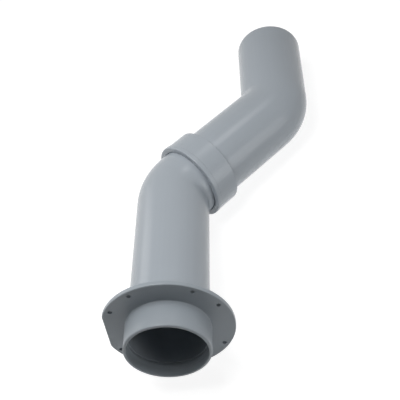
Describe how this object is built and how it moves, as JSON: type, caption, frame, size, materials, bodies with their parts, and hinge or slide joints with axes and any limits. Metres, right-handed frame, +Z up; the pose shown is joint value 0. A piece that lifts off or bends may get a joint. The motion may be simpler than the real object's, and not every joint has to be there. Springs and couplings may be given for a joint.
{
  "type": "flue elbow",
  "caption": "Swan-neck flue of grey plastic pipe: a flange adaptor with a stub, a lower elbow and an upper elbow, joined by push-fit sockets with lip seals.",
  "frame": {"origin": "centre of the stub, in the plane of the flange's lower face, the face that is screwed to the appliance", "axes": "+Y along the lower pipe, away from the appliance; +X towards the side that the flue steps to; +Z up as the elbow lies"},
  "size_m": [0.2251, 0.4581, 0.13],
  "materials": {
    "pipe_plastic": "satin",
    "moulded_plastic": "satin",
    "seal_rubber": "matte"
  },
  "bodies": {
    "adaptor": {"flange_adaptor": "moulded_plastic"},
    "lower_seal": {"adaptor_seal": "seal_rubber"},
    "lower": {"lower_elbow": "pipe_plastic"},
    "upper_seal": {"elbow_seal": "seal_rubber"},
    "upper": {"upper_elbow": "pipe_plastic"}
  },
  "joints": [
    {"name": "lower_swivel", "type": "hinge", "parent": "adaptor", "child": "lower_seal", "pos_m": [0, 0.009, 0], "axis": [0, -1, 0], "continuous": true},
    {"name": "lower_slide", "type": "slide", "parent": "lower_seal", "child": "lower", "axis": [0, 1, 0], "range_m": [0, 0.015]},
    {"name": "upper_slide", "type": "slide", "parent": "lower", "child": "upper_seal", "axis": [0.7071, 0.7071, 0], "range_m": [0, 0.012]},
    {"name": "upper_swivel", "type": "hinge", "parent": "upper_seal", "child": "upper", "pos_m": [0.02373, 0.20878, 0], "axis": [0.7071, 0.7071, 0], "continuous": true}
  ]
}
